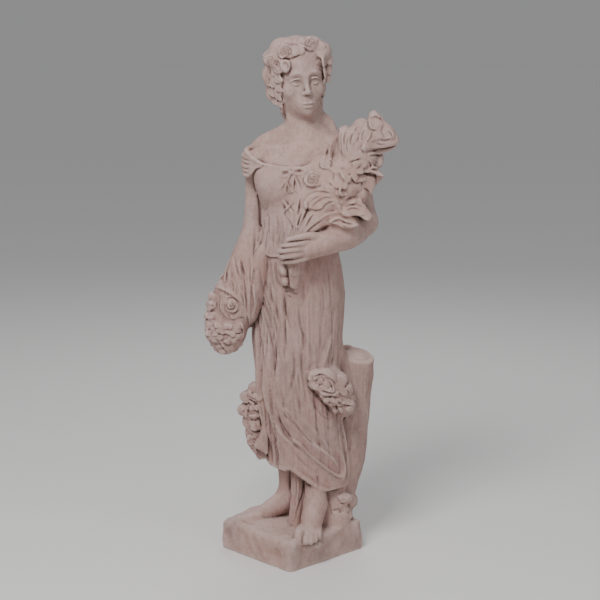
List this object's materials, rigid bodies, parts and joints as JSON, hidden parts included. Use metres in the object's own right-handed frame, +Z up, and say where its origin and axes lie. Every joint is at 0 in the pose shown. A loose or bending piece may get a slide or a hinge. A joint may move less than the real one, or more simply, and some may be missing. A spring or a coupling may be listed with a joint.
{
  "type": "garden goddess statue",
  "caption": "Cast stone garden statue of a robed goddess crowned with roses, holding a bouquet beside a tree stump on a square plinth",
  "frame": {"origin": "middle of the plinth's flat underside", "axes": "+Z up; the plinth's sides lie along X and Y; the figure faces the plinth corner between +X and -Y"},
  "size_m": [0.3187, 0.3596, 1.1949],
  "materials": {
    "cast_stone": "rough matte cast stone, pale pinkish buff, with a thin brown wash settled in its grooves"
  },
  "bodies": {
    "root": {"garden_goddess_statue": "cast_stone"}
  },
  "joints": []
}
